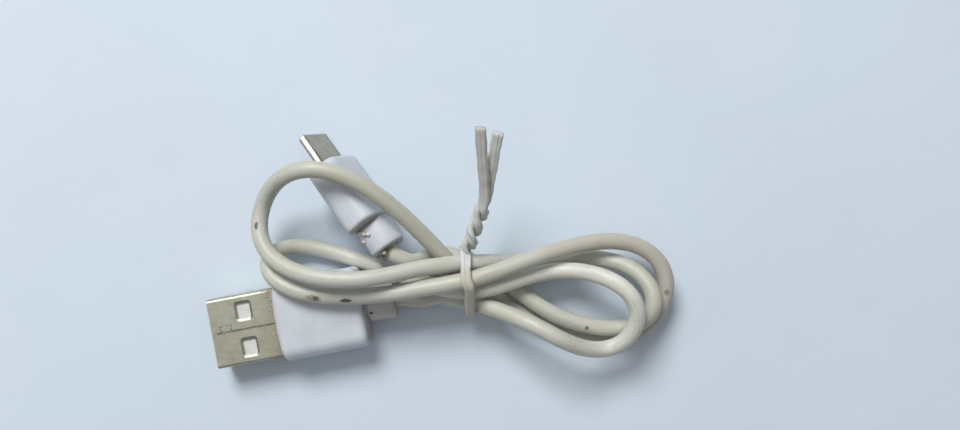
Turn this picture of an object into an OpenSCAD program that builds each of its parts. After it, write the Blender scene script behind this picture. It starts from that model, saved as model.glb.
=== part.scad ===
// Charging cable with a type-A plug and a micro-B plug, folded to and fro and held by a
// twist tie. Millimetres. The cable lies on the plane z = 0.

/* [Cord] */
// thickness of the cord's jacket
cord_d = 2.8; // [2:0.1:4]
// depth to which the cord runs into each strain relief
cord_seat = 2.4; // [1:0.1:4]
// play round the cord in its strain relief
cord_play = 0.05; // [0.02:0.01:0.15]

/* [Type-A shell] */
// width over the shell
a_shell_w = 12; // [11.8:0.05:12.2]
// height over the shell
a_shell_h = 4.5; // [4.4:0.05:4.6]
// length of shell that stands out of the grip
a_shell_show = 11.7; // [11:0.1:12.5]
// length of shell held inside the grip
a_shell_seat = 4.5; // [3:0.1:6]
// sheet thickness
a_sheet = 0.3; // [0.2:0.05:0.4]
// outside radius of the shell's long edges
a_shell_r = 0.55; // [0.4:0.05:0.8]
// size of each window along the plug
a_window_l = 2.3; // [1.8:0.1:2.8]
// size of each window across the plug
a_window_w = 2.7; // [2:0.1:3]
// distance from the mouth to the middle of the windows
a_window_x = 6.05; // [5:0.05:7]
// distance from the seam to the middle of each window
a_window_y = 3.15; // [2.5:0.05:3.6]
// width of the seam where the folded sheet meets
a_seam_gap = 0.1; // [0.05:0.01:0.2]
// how far the dovetail reaches to the side of the seam
a_dovetail_d = 1.1; // [0.8:0.1:1.5]
// width of the dovetail at the seam
a_dovetail_w = 1.5; // [1:0.1:2]
// distance from the mouth to the middle of the dovetail
a_dovetail_x = 2.5; // [2:0.1:3.5]

/* [Type-A tongue and contacts] */
// thickness of the tongue
a_tongue_t = 1.9; // [1.7:0.05:2]
// play between the tongue and the shell
a_tongue_play = 0.06; // [0.03:0.01:0.15]
// distance from the mouth to the front of the tongue
a_tongue_back = 0.7; // [0.4:0.1:1.5]
// length of the block that closes the shell behind the tongue
a_block_l = 3.9; // [3:0.1:4.2]
// width of each contact
contact_w = 1; // [0.8:0.05:1.1]
// thickness of each contact
contact_t = 0.22; // [0.15:0.01:0.3]
// distance from the middle to the two inner contacts
contact_inner_y = 1; // [0.9:0.05:1.1]
// distance from the middle to the two outer contacts
contact_outer_y = 3.5; // [3.4:0.05:3.6]
// how much further forward the outer contacts start
contact_lead = 1; // [0.8:0.1:1.2]
// distance from the mouth to the front of the inner contacts
contact_back = 2.2; // [2:0.1:3]
// length of each contact's tail behind the block
contact_tail = 1.9; // [1:0.1:2.5]

/* [Type-A grip] */
// length of the grip
a_grip_l = 14.9; // [12:0.1:18]
// width of the grip
a_grip_w = 14.1; // [13.5:0.1:16]
// height of the grip
a_grip_h = 7.6; // [7:0.1:9]
// radius of the grip's long edges
a_grip_r = 2.4; // [1.5:0.1:3]
// radius of the grip's rear corners
a_grip_rear_r = 1.3; // [0.6:0.1:3.5]
// radius of the grip's front corners
a_grip_front_r = 0.7; // [0.4:0.1:1]
// bulge of the grip's front face
a_grip_bulge = 0.4; // [0.2:0.1:0.8]
// length of the strain relief
a_relief_l = 5.2; // [4:0.1:8]
// thickness of the strain relief
a_relief_d = 6; // [5:0.1:6.5]
// length of the inner mould
a_core_l = 7.6; // [5:0.1:8.5]
// width of the inner mould
a_core_w = 11; // [10:0.1:11.4]
// height of the inner mould
a_core_h = 4.4; // [4:0.1:5]

/* [Micro-B shell] */
// width over the shell's wide face
b_shell_w = 6.85; // [6.8:0.01:6.9]
// height over the shell
b_shell_h = 1.8; // [1.75:0.01:1.85]
// size of the chamfers beside the narrow face
b_chamfer = 0.7; // [0.6:0.05:0.8]
// length of shell that stands out of the grip
b_shell_show = 6.15; // [5.8:0.05:6.6]
// length of shell held inside the grip
b_shell_seat = 2.8; // [2:0.1:4]
// sheet thickness
b_sheet = 0.25; // [0.2:0.01:0.3]

/* [Micro-B insulator, contacts and latches] */
// thickness of the insulator's tongue
b_tongue_t = 0.5; // [0.4:0.02:0.55]
// play between the insulator and the shell
b_tongue_play = 0.04; // [0.02:0.01:0.06]
// distance from the mouth to the front of the insulator
b_tongue_back = 0.5; // [0.3:0.1:1]
// length of the block that closes the shell
b_block_l = 1.9; // [1.5:0.1:2.2]
// distance between neighbouring contacts
pin_pitch = 0.65; // [0.6:0.01:0.7]
// width of each contact
pin_w = 0.36; // [0.3:0.01:0.4]
// thickness of each contact
pin_t = 0.12; // [0.1:0.01:0.15]
// distance from the insulator's front to the contacts' front
pin_back = 0.4; // [0.3:0.05:0.8]
// length of each contact's tail behind the block
pin_tail = 1.2; // [0.8:0.1:1.6]
// distance from the middle to each latch
latch_y = 2.1; // [2:0.01:2.2]
// width of each latch
latch_w = 0.5; // [0.4:0.01:0.6]
// thickness of each latch
latch_t = 0.18; // [0.15:0.01:0.2]
// distance from the mouth to the middle of each hook
latch_x = 2.5; // [2.2:0.05:2.8]
// length of each hook along the plug
latch_hook_l = 0.9; // [0.6:0.05:1.1]
// how far each hook stands out of the shell
latch_out = 0.4; // [0.3:0.01:0.5]
// play round each latch
latch_play = 0.12; // [0.08:0.01:0.2]

/* [Micro-B grip] */
// length of the grip
b_grip_l = 12.5; // [10:0.1:15]
// width of the grip
b_grip_w = 10.2; // [9:0.1:11]
// height of the grip
b_grip_h = 6; // [5:0.1:7]
// radius of the grip's long edges
b_grip_r = 2.2; // [1.5:0.1:2.4]
// radius of the grip's rear corners
b_grip_rear_r = 0.8; // [0.5:0.1:2.6]
// radius of the grip's front corners
b_grip_front_r = 0.8; // [0.4:0.1:1]
// bulge of the grip's front face
b_grip_bulge = 0.3; // [0.1:0.1:0.6]
// length of the strain relief
b_relief_l = 5.15; // [4:0.05:8]
// thickness of the strain relief
b_relief_d = 6.2; // [5:0.1:6.4]
// length of the inner mould
b_core_l = 6; // [4:0.1:7]
// width of the inner mould
b_core_w = 7.4; // [6:0.1:7.8]
// height of the inner mould
b_core_h = 3.2; // [2.6:0.1:3.6]

/* [Wires] */
// thickness of each wire's insulation
wire_d = 0.75; // [0.6:0.01:0.85]
// thickness of each bare conductor
strand_d = 0.3; // [0.2:0.01:0.32]
// play round the wires and the inner moulds
mould_play = 0.05; // [0.02:0.01:0.1]

/* [Twist tie] */
// width of the ribbon
tie_w = 1.9; // [1.4:0.1:2.4]
// thickness of the ribbon
tie_t = 0.8; // [0.6:0.05:1]
// thickness of the wire core
tie_core_d = 0.36; // [0.2:0.02:0.4]
// play round the wire core
tie_core_play = 0.03; // [0.01:0.01:0.06]
// play between the tie and the bundle
tie_play = 0.2; // [0.15:0.05:0.6]
// half turns in the twisted pair
tie_turns = 3; // [2:1:5]

/* [Hidden] */
$fn = 48;
steel = [0.68, 0.68, 0.66];
gold = [0.83, 0.66, 0.3];
white = [0.93, 0.94, 0.93];
grip_white = [0.84, 0.88, 0.91];
cord_cream = [0.86, 0.86, 0.81];
tie_white = [0.8, 0.82, 0.82];

// ---- places ----
shift = [21.66, 6.05, 0];
waist = [-1.7, -11.8];
a_turn = [0, 0, 190.7];
a_exit = [-14.7, -14.7, a_grip_h / 2];
b_turn = [68, 8, 126];
b_sag = sin(b_turn[1]) * (b_relief_l + b_grip_l - b_grip_front_r / 2);
b_lean = sin(b_turn[0]) * (b_grip_w / 2 - b_grip_r) + cos(b_turn[0]) * (b_grip_h / 2 - b_grip_r);
b_exit = [-15.4, -5.6, b_sag + cos(b_turn[1]) * b_lean + b_grip_r];
a_dir = [cos(a_turn[2]), sin(a_turn[2]), 0];
b_dir = [cos(b_turn[1]) * cos(b_turn[2]), cos(b_turn[1]) * sin(b_turn[2]), -sin(b_turn[1])];

// ---- type-A plug, measured along the plug from where the cord leaves it ----
a_front = a_relief_l + a_grip_l;
a_mouth = a_front + a_shell_show;
a_back = a_front - a_shell_seat;
a_in_w = a_shell_w - 2 * a_sheet;
a_in_h = a_shell_h - 2 * a_sheet;
a_tongue_top = a_in_h / 2 - a_tongue_play;
a_tongue_under = a_tongue_top - a_tongue_t;
a_block_x = a_back + 0.3;
a_tail_x = a_block_x - contact_tail;
a_strip_x = a_tail_x - 1;
contact_z = a_tongue_under + 0.02;
contact_ys = [contact_outer_y, contact_inner_y, -contact_inner_y, -contact_outer_y];

// ---- micro-B plug, the same way; its wide face is towards +Z ----
b_front = b_relief_l + b_grip_l;
b_mouth = b_front + b_shell_show;
b_back = b_front - b_shell_seat;
b_in_h = b_shell_h - 2 * b_sheet;
b_tongue_top = b_in_h / 2 - b_tongue_play;
b_tongue_under = b_tongue_top - b_tongue_t;
b_block_x = b_back + 0.2;
b_tail_x = b_block_x - pin_tail;
b_strip_x = b_tail_x - 1.6;
b_tongue_front = b_mouth - b_tongue_back;
pin_z = b_tongue_under - pin_t / 2;
latch_top = latch_t + 0.03 - b_in_h / 2;
latch_hook_x = b_mouth - latch_x;
pivot_x = b_block_x + 0.4;

// ---- shared shapes ----
module place_a() {
    translate(a_exit + shift) rotate(a_turn) children();
}

module place_b() {
    translate(b_exit + shift) rotate(b_turn) children();
}

module along_x(x0, x1) {
    translate([x0, 0, 0]) rotate([90, 0, 90]) linear_extrude(x1 - x0) children();
}

module round_rect(w, h, r) {
    square([w - 2 * r, h], center = true);
    square([w, h - 2 * r], center = true);
    for (y = [-1, 1], z = [-1, 1]) translate([y * (w / 2 - r), z * (h / 2 - r)]) circle(r = r);
}

// outline of a grip seen from above or from the side, its rear at x = 0
module bar_outline(l, w, rear, front) {
    translate([0, rear - w / 2]) square([l - front, w - 2 * rear]);
    translate([rear, front - w / 2]) square([l - rear, w - 2 * front]);
    translate([rear, -w / 2]) square([l - rear - front, w]);
    for (s = [-1, 1]) {
        translate([rear, s * (w / 2 - rear)]) circle(r = rear);
        translate([l - front, s * (w / 2 - front)]) circle(r = front);
    }
}

// the slight bulge that a moulded grip has on its front face
module front_bulge(l, w, front, bulge) {
    half = w / 2 - front;
    r = (half * half + bulge * bulge) / (2 * bulge);
    intersection() {
        translate([l + bulge - r, 0]) circle(r = r, $fn = 360);
        translate([l - front, -half]) square([front + bulge, 2 * half]);
    }
}

module grip(l, w, h, r, rear, front, bulge) {
    rear_h = min(rear, h / 2 - 0.4);
    intersection() {
        along_x(0, l + bulge) round_rect(w, h, r);
        translate([0, 0, -h / 2]) linear_extrude(h) {
            bar_outline(l, w, rear, front);
            front_bulge(l, w, front, bulge);
        }
        translate([0, w / 2, 0]) rotate([90, 0, 0]) linear_extrude(w) {
            bar_outline(l + bulge, h, rear_h, front);
        }
    }
}

module relief(l, d) {
    rim = 0.35;
    rotate([0, 90, 0]) rotate_extrude() {
        polygon([[0, 0], [d / 2 - rim, 0], [d / 2, rim], [d / 2, l + 1], [0, l + 1]]);
    }
}

module cord_socket() {
    translate([-1, 0, 0]) rotate([0, 90, 0]) {
        cylinder(d = cord_d + 2 * cord_play, h = 1 + cord_seat + 0.02);
    }
}

module rod(p, q, d) {
    v = q - p;
    translate(p) rotate([0, acos(v[2] / norm(v)), atan2(v[1], v[0])]) cylinder(d = d, h = norm(v));
}

// one wire: insulated as far as the strip, then bare to its contact's tail
wire_ring = cord_d * 0.19;
wire_from = [[1, -1], [1, 1], [-1, 1], [-1, -1]];

module wire(i, strip, tail, more) {
    from = [cord_seat + 0.04 - more, wire_from[i][0] * wire_ring, wire_from[i][1] * wire_ring];
    rod(from, strip, wire_d + 2 * more);
    rod(from + 0.93 * (strip - from), tail, strand_d + 2 * more);
}

module a_wire(i, more = 0) {
    z = contact_z - strand_d / 2 - 0.03;
    strip = [a_strip_x - wire_d, contact_ys[i], z];
    wire(i, strip, [a_tail_x + 1.2 + more, contact_ys[i], z], more);
}

pin_ys = [2, 1, 0, -1, -2] * pin_pitch;
b_wired = [0, 1, 2, 4];

module b_wire(i, more = 0) {
    z = pin_z - strand_d / 2 - 0.03;
    strip = [b_strip_x - wire_d, (1.5 - i) * (wire_d + 0.55), z];
    wire(i, strip, [b_tail_x + 0.8 + more, pin_ys[b_wired[i]], z], more);
}

// ---- type-A plug ----
module a_dovetail(grow) {
    x = a_mouth - a_dovetail_x;
    flare = 0.3;
    polygon([
        [x - a_dovetail_w / 2 - grow, grow],
        [x - a_dovetail_w / 2 - flare - grow, -a_dovetail_d - grow],
        [x + a_dovetail_w / 2 + flare + grow, -a_dovetail_d - grow],
        [x + a_dovetail_w / 2 + grow, grow]
    ]);
}

// the seam runs along the middle and goes round the dovetail near the mouth
module a_seam() {
    g = a_seam_gap / 2;
    difference() {
        union() {
            translate([a_back - 1, -g]) square([a_mouth - a_back + 2, 2 * g]);
            a_dovetail(g);
        }
        difference() {
            a_dovetail(-g);
            translate([a_back, g]) square([a_mouth, 1]);
        }
        translate([a_mouth - a_dovetail_x - a_dovetail_w / 2 + g, -2 * g]) {
            square([a_dovetail_w - 2 * g, 4 * g]);
        }
    }
}

module type_a_shell() color(steel) place_a() difference() {
    along_x(a_back, a_mouth) difference() {
        round_rect(a_shell_w, a_shell_h, a_shell_r);
        round_rect(a_in_w, a_in_h, a_shell_r - a_sheet);
    }
    for (y = [-1, 1]) translate([a_mouth - a_window_x, y * a_window_y, -a_shell_h]) {
        linear_extrude(2 * a_shell_h) round_rect(a_window_l, a_window_w, 0.3);
    }
    linear_extrude(a_shell_h) a_seam();
}

module type_a_tongue() color(white) place_a() difference() {
    w = a_in_w - 2 * a_tongue_play;
    tongue_x = a_mouth - a_tongue_back;
    union() {
        translate([a_block_x, -w / 2, a_tongue_under]) cube([tongue_x - a_block_x, w, a_tongue_t]);
        translate([a_block_x, -w / 2, -a_tongue_top]) cube([a_block_l, w, 2 * a_tongue_top]);
    }
    for (i = [0:3]) translate([a_block_x - 1, contact_ys[i] - contact_w / 2 - 0.04, contact_z - 0.03]) {
        cube([a_contact_front(i) + 0.1 - a_block_x + 1, contact_w + 0.08, contact_t + 0.06]);
    }
    translate([tongue_x, 0, a_tongue_under]) rotate([0, 45, 0]) cube([0.8, a_shell_w, 0.8], center = true);
}

function a_contact_front(i) = a_mouth - contact_back + (i == 0 || i == 3 ? contact_lead : 0);

// a flat contact with its tip chamfered towards the tongue
module a_contact(i) color(gold) place_a() {
    x1 = a_contact_front(i);
    translate([0, contact_ys[i] + contact_w / 2, 0]) rotate([90, 0, 0]) linear_extrude(contact_w) {
        polygon([
            [a_tail_x, contact_z],
            [x1 - 0.4, contact_z],
            [x1, contact_z + contact_t / 2],
            [x1, contact_z + contact_t],
            [a_tail_x, contact_z + contact_t]
        ]);
    }
}

module type_a_contact_power() a_contact(0);
module type_a_contact_data_minus() a_contact(1);
module type_a_contact_data_plus() a_contact(2);
module type_a_contact_ground() a_contact(3);

module type_a_inner_mould() color(white) place_a() difference() {
    along_x(a_back - a_core_l, a_back - mould_play) round_rect(a_core_w, a_core_h, 1);
    for (i = [0:3]) {
        a_wire(i, mould_play);
        translate([a_tail_x - 0.1, contact_ys[i] - contact_w / 2 - 0.05, contact_z - strand_d / 2 - 0.05]) {
            cube([contact_tail + 1, contact_w + 0.1, contact_t + strand_d / 2 + 0.1]);
        }
    }
}

module type_a_overmould() color(grip_white) place_a() difference() {
    union() {
        relief(a_relief_l, a_relief_d);
        translate([a_relief_l, 0, 0]) {
            grip(a_grip_l, a_grip_w, a_grip_h, a_grip_r, a_grip_rear_r, a_grip_front_r, a_grip_bulge);
        }
    }
    cord_socket();
    for (i = [0:3]) a_wire(i, mould_play);
    along_x(a_back - a_core_l - mould_play, a_back) {
        round_rect(a_core_w + 2 * mould_play, a_core_h + 2 * mould_play, 1);
    }
    along_x(a_back - mould_play, a_mouth) {
        round_rect(a_shell_w + 2 * mould_play, a_shell_h + 2 * mould_play, a_shell_r);
    }
}

module type_a_wire_red() color([0.7, 0.1, 0.08]) place_a() a_wire(0);
module type_a_wire_white() color(white) place_a() a_wire(1);
module type_a_wire_green() color([0.1, 0.45, 0.2]) place_a() a_wire(2);
module type_a_wire_black() color([0.06, 0.06, 0.06]) place_a() a_wire(3);

// ---- micro-B plug ----
// the shell's outline drawn in by a given amount; its corners follow the slanted sides
module b_outline(in) {
    w = b_shell_w / 2 - in;
    h = b_shell_h / 2 - in;
    c = b_chamfer - in * (2 - sqrt(2));
    polygon([[-w, h], [-w, c - h], [c - w, -h], [w - c, -h], [w, c - h], [w, h]]);
}

module b_latch_slots() {
    l = latch_hook_l + 3 * latch_play;
    w = latch_w + 2 * latch_play;
    for (s = [-1, 1]) translate([latch_hook_x - l / 2, s * latch_y - w / 2, -b_shell_h]) {
        cube([l, w, b_shell_h]);
    }
}

module micro_b_shell() color(steel) place_b() difference() {
    along_x(b_back, b_mouth) difference() {
        b_outline(0);
        b_outline(b_sheet);
    }
    b_latch_slots();
}

module micro_b_insulator() color([0.12, 0.12, 0.13]) place_b() difference() {
    tongue_w = b_shell_w - 2 * b_sheet - 2 * b_tongue_play;
    intersection() {
        along_x(b_block_x, b_tongue_front) b_outline(b_sheet + b_tongue_play);
        union() {
            translate([b_block_x, -tongue_w / 2, -b_in_h / 2]) cube([b_block_l, tongue_w, b_in_h]);
            translate([b_block_x, -tongue_w / 2, b_tongue_under]) {
                cube([b_tongue_front - b_block_x, tongue_w, b_tongue_t + 0.2]);
            }
        }
    }
    for (y = pin_ys) translate([b_block_x - 1, y - pin_w / 2 - 0.03, pin_z - 0.03]) {
        cube([b_tongue_front - pin_back + 1.05 - b_block_x, pin_w + 0.06, pin_t + 0.06]);
    }
    for (s = [-1, 1]) translate([b_block_x - 1, s * latch_y - latch_w / 2 - latch_play, -b_shell_h]) {
        cube([b_block_l + 2, latch_w + 2 * latch_play, b_shell_h + latch_top + latch_play + 0.14]);
    }
}

module b_pin(i) color(gold) place_b() {
    x0 = b_tail_x;
    x1 = b_tongue_front - pin_back;
    translate([x0, pin_ys[i] - pin_w / 2, pin_z]) cube([x1 - x0, pin_w, pin_t]);
}

module micro_b_contact_power() b_pin(0);
module micro_b_contact_data_minus() b_pin(1);
module micro_b_contact_data_plus() b_pin(2);
module micro_b_contact_id() b_pin(3);
module micro_b_contact_ground() b_pin(4);

// a leaf spring whose hook stands out of the narrow face
module b_latch(s) color(steel) place_b() {
    under = latch_top - latch_t;
    tip = -b_shell_h / 2 - latch_out;
    rear = latch_hook_x - latch_hook_l / 2;
    front = latch_hook_x + latch_hook_l / 2;
    translate([0, s * latch_y + latch_w / 2, 0]) rotate([90, 0, 0]) linear_extrude(latch_w) {
        polygon([
            [b_block_x, latch_top],
            [b_block_x, under],
            [rear, under],
            [rear + 0.15, tip],
            [rear + 0.45, tip],
            [front, under],
            [front + 0.3, under],
            [front + 0.3, latch_top]
        ]);
    }
}

module micro_b_latch_upper() b_latch(1);
module micro_b_latch_lower() b_latch(-1);

module micro_b_inner_mould() color(white) place_b() difference() {
    along_x(b_back - b_core_l, b_back - mould_play) round_rect(b_core_w, b_core_h, 0.8);
    for (i = [0:3]) b_wire(i, mould_play);
    for (y = pin_ys) {
        translate([b_tail_x - 0.1, y - pin_w / 2 - 0.04, pin_z - strand_d / 2 - 0.05]) {
            cube([pin_tail + 1, pin_w + 0.08, pin_t + strand_d / 2 + 0.1]);
        }
    }
}

module micro_b_overmould() color(grip_white) place_b() difference() {
    union() {
        relief(b_relief_l, b_relief_d);
        translate([b_relief_l, 0, 0]) {
            grip(b_grip_l, b_grip_w, b_grip_h, b_grip_r, b_grip_rear_r, b_grip_front_r, b_grip_bulge);
        }
    }
    cord_socket();
    for (i = [0:3]) b_wire(i, mould_play);
    along_x(b_back - b_core_l - mould_play, b_back) {
        round_rect(b_core_w + 2 * mould_play, b_core_h + 2 * mould_play, 0.8);
    }
    along_x(b_back - mould_play, b_mouth) b_outline(-mould_play);
}

module micro_b_wire_red() color([0.7, 0.1, 0.08]) place_b() b_wire(0);
module micro_b_wire_white() color(white) place_b() b_wire(1);
module micro_b_wire_green() color([0.1, 0.45, 0.2]) place_b() b_wire(2);
module micro_b_wire_black() color([0.06, 0.06, 0.06]) place_b() b_wire(3);

// ---- sweeping along a route ----
function unit(v) = v / norm(v);

function heading(p, i) = unit(p[min(i + 1, len(p) - 1)] - p[max(i - 1, 0)]);

function round_ring(p, t, r, n) = let (u = unit(cross(t, [0, 0, 1])), v = cross(u, t))
    [for (k = [0:n - 1]) p + r * (cos(360 * k / n) * u + sin(360 * k / n) * v)];

// triangles between rings of n points; the first ring's points start at number a
function skin(count, n, a = 0, turn = false) = [
    for (i = [0:count - 2], k = [0:n - 1]) let (
        p = a + i * n + k,
        q = a + i * n + (k + 1) % n
    ) each turn ? [[p, p + n, q], [q, p + n, q + n]] : [[p, q, p + n], [q, q + n, p + n]]
];

function cap(a, n, turn = false) = [
    for (k = [1:n - 2]) turn ? [a, a + k, a + k + 1] : [a, a + k + 1, a + k]
];

module tube(p, r, n) {
    count = len(p);
    points = [for (i = [0:count - 1]) each round_ring(p[i], heading(p, i), r, n)];
    last = (count - 1) * n;
    polyhedron(points, concat(skin(count, n), cap(0, n), cap(last, n, true)), convexity = 10);
}

// a smooth line through points, with so many steps between neighbours
function smooth_line(p, steps) = let (n = len(p)) concat([
    for (i = [0:n - 2], k = [0:steps - 1]) let (
        f = k / steps,
        b = p[i],
        c = p[i + 1],
        a = i == 0 ? 2 * b - c : p[i - 1],
        d = i == n - 2 ? 2 * c - b : p[i + 2]
    ) (2 * b + (c - a) * f + (2 * a - 5 * b + 4 * c - d) * pow(f, 2)
        + (3 * b - a - 3 * c + d) * pow(f, 3)) / 2
], [p[n - 1]]);

// ---- the hank: five loops, to the right and to the left of the waist in turn ----
// each row: side, tilt, reach, outward and backward belly, bow, and how full the loop's
// root and tip are
loops = [
    [1, -6.4, 31.6, -5.8, 6.2, 0.7, 1.4, 0.5],
    [-1, 20.8, 37.7, -9.4, 8.4, 1.7, 1.3, 1.1],
    [1, -1.1, 34, -9.4, 8.4, -0.6, 1.25, 0.5],
    [-1, 6.5, 34.8, -3.5, 3.8, -1.4, 1.45, 2.8],
    [1, -12.9, 28.7, 5.6, -7.1, 1.2, 1.4, 0.9]
];
// where the cord crosses the waist: across and height, six times
crossings = [[3.7, 2.6], [3.4, 8.2], [-0.1, 4], [0.8, 10.6], [-1.4, 8.2], [-3.1, 5.4]];
// heights of the cord round each loop, every sixth of the way
loop_z = [
    [4.7, 4.5, 7.2, 5.2, 2.3],
    [13.1, 9.5, 7.6, 13.6, 12],
    [1.5, 2.2, 4.9, 5.6, 7.2],
    [9.6, 9.1, 6.3, 2, 3],
    [5.8, 10.7, 9.3, 6.6, 11.4]
];
loop_count = len(loops);
whole = 360 * loop_count;
loop_step = 15;
ease = 15;

function soft(x) = let (c = min(max(x, 0), 1)) c * c * (3 - 2 * c);

// the belly of a loop between its root and its tip, 1 at its widest
function belly(u, a, q) = let (w = a / (a + q / 2), top = pow(pow(w, 1 / q), a) * sqrt(1 - w))
    pow(u, a) * sqrt(max(0, 1 - pow(u, q))) / top;

function loop_xy(i, t) = let (
    s = loops[i],
    u = sin(t / 2),
    back = t > 180,
    across = (back ? s[4] : s[3]) * belly(u, s[6], s[7]) + s[5] * 4 * u * (1 - u),
    root = crossings[back ? i + 1 : i][0] * (1 - soft(2 * u))
) waist + s[0] * s[2] * u * [cos(s[1]), s[0] * sin(s[1])] + across * [-s[0] * sin(s[1]), cos(s[1])]
    + [0, root];

heights = [
    for (i = [0:loop_count - 1]) each concat([crossings[i][1]], loop_z[i]),
    crossings[loop_count][1]
];

function height(tau) = let (
    n = len(heights) - 1,
    i = min(n - 1, floor(tau / 60)),
    f = tau / 60 - i,
    a = heights[max(i - 1, 0)],
    b = heights[i],
    c = heights[i + 1],
    d = heights[min(i + 2, n)]
) (2 * b + (c - a) * f + (2 * a - 5 * b + 4 * c - d) * f * f + (3 * b - a - 3 * c + d) * pow(f, 3)) / 2;

function bare_route(tau) = let (i = min(loop_count - 1, floor(tau / 360)), xy = loop_xy(i, tau - 360 * i))
    [xy[0], xy[1], height(tau)];

function route(tau) = let (e = min(ease, tau, whole - tau))
    (bare_route(tau - e) + 2 * bare_route(tau) + bare_route(tau + e)) / 4;

// both ends of the hank run straight for one thickness of the cord
hank_first = route(0);
hank_last = route(whole);
in_dir = unit(route(4) - hank_first);
out_dir = unit(hank_last - route(whole - 4));
hank_start = hank_first - cord_d * in_dir;
hank_end = hank_last + cord_d * out_dir;
hank_line = concat([hank_start], [for (tau = [0:loop_step:whole]) route(tau)], [hank_end]);

// the two free stretches between the plugs and the hank
b_lead_points = [[-11.5, -8, 6.8], [-8.5, -7.2, 3.3]];
a_lead_points = [[-8, -14.3, 3.5], [-10.5, -14.8, 3.1]];
b_lead_line = concat(smooth_line(concat(
    [b_exit + cord_seat * b_dir, b_exit, b_exit - cord_d / 2 * b_dir],
    b_lead_points,
    [hank_start - cord_d / 2 * in_dir]
), 3), [hank_start]);
a_lead_line = concat([hank_end], smooth_line(concat(
    [hank_end + cord_d / 2 * out_dir],
    a_lead_points,
    [a_exit - cord_d / 2 * a_dir, a_exit, a_exit + cord_seat * a_dir]
), 3));

// least gap of the cord to itself, on points every 5 degrees of each loop
all_points = concat(b_lead_line, [for (tau = [0:5:whole]) route(tau)], a_lead_line);
run = [
    for (i = 0, s = 0; i < len(all_points); i = i + 1,
        s = s + (i < len(all_points) ? norm(all_points[i] - all_points[i - 1]) : 0)) s
];
apart = 2.5 * cord_d;
cord_gap = min([
    for (i = [0:len(all_points) - 1])
        min([999, for (j = [i + 1:1:len(all_points) - 1])
            if (run[j] - run[i] > apart) norm(all_points[i] - all_points[j])])
]) - cord_d;
echo(least_gap_of_the_cord_to_itself = cord_gap, cord_length = run[len(run) - 1]);

module micro_b_lead() color(cord_cream) translate(shift) tube(b_lead_line, cord_d / 2, 8);
module cord_hank() color(cord_cream) translate(shift) tube(hank_line, cord_d / 2, 6);
module type_a_lead() color(cord_cream) translate(shift) tube(a_lead_line, cord_d / 2, 8);

// ---- the twist tie ----
// the tie goes round the six strands at the waist, then its two halves twist together
tie_reach = cord_d / 2 + tie_play + tie_t / 2;
tie_root = [-2.2, -5.9, 9.2];
tie_fork = [0.6, 1.6, 14.7];
tie_ends = [[2.73, 12.5, 21.3], [0.1, 13.6, 21.4]];
tie_run = unit(tie_fork - tie_root);
tie_side = unit(cross(tie_run, [0, 0, 1]));
tie_up = cross(tie_side, tie_run);
pair_r = tie_t / 2 + 0.1;
pair_steps = 5 * tie_turns;
free_steps = 5;
band_steps = 23;

// where the cord's pass number i is, dx beside the waist: across and height
function strand(i, dx) = let (
    p = route(360 * i),
    h = route(360 * i + (i == 0 ? 4 : 0)) - route(360 * i - (i == 0 ? 0 : 4))
) [p[1] + dx * h[1] / h[0], p[2] + dx * h[2] / h[0]];

function outermost(d, points) = let (far = max([for (p = points) p * d]))
    [for (p = points) if (p * d >= far - 0.0001) p][0];

// each point of the tie comes with the way its flat side faces and the way that it runs
function band(phi) = let (
    d = [cos(phi), sin(phi)],
    x = -0.4 - 0.6 * d[0],
    edges = [for (i = [0:loop_count], w = [-1, 1]) strand(i, x + w * tie_w / 2)],
    s = outermost(d, edges) + tie_reach * d
) [[waist[0] + x, s[0], s[1]], [0, d[0], d[1]], [0, -d[1], d[0]]];

// one of the twisted pair, from the root at 0 to the fork at 1
function twisted(f, half) = let (
    a = 90 + 180 * (half + tie_turns * f),
    d = cos(a) * tie_side + sin(a) * tie_up
) [
    tie_root + f * (tie_fork - tie_root) + (pair_r + 0.25 * pow(max(0, 1 - 4 * f), 2)) * d,
    d,
    (2 * half - 1) * tie_run
];

// a curve that leaves a and arrives at b with the given tangents
function bridge(a, leave, b, arrive, f) = (2 * pow(f, 3) - 3 * f * f + 1) * a
    + (pow(f, 3) - 2 * f * f + f) * leave + (3 * f * f - 2 * pow(f, 3)) * b + (pow(f, 3) - f * f) * arrive;

function free_end(half, f) = let (
    s = cos(180 * (half + tie_turns)) * tie_up,
    fork = tie_fork + pair_r * s,
    end = tie_ends[half] + 0.6 * pair_r * s,
    far = end - fork
) [bridge(fork, 7 * tie_run, end, 1.1 * far, f), s, (2 * half - 1) * far / 12];

// the same line with so many points, evenly spaced
function evenly(items, count) = let (
    last = len(items) - 1,
    gone = [for (i = 0, s = 0; i <= last; i = i + 1,
        s = s + (i <= last ? norm(items[i][0] - items[i - 1][0]) : 0)) s]
) [for (k = [0:count - 1]) [for (part = [0:2]) [for (axis = [0:2])
    lookup(gone[last] * k / (count - 1), [for (i = [0:last]) [gone[i], items[i][part][axis]]])
]]];

tie_path = concat(
    [for (k = [free_steps:-1:1]) free_end(0, k / free_steps)],
    [for (k = [pair_steps:-1:1]) twisted(k / pair_steps, 0)],
    evenly(concat([twisted(0, 0)], [for (phi = [65:5:350]) band(phi)], [twisted(0, 1)]), band_steps),
    [for (k = [1:pair_steps]) twisted(k / pair_steps, 1)],
    [for (k = [1:free_steps]) free_end(1, k / free_steps)]
);
tie_line = smooth_line([for (e = tie_path) e[0]], 2);
tie_facing = smooth_line([for (e = tie_path) e[1]], 2);
tie_ahead = smooth_line([for (e = tie_path) e[2]], 2);

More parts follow.
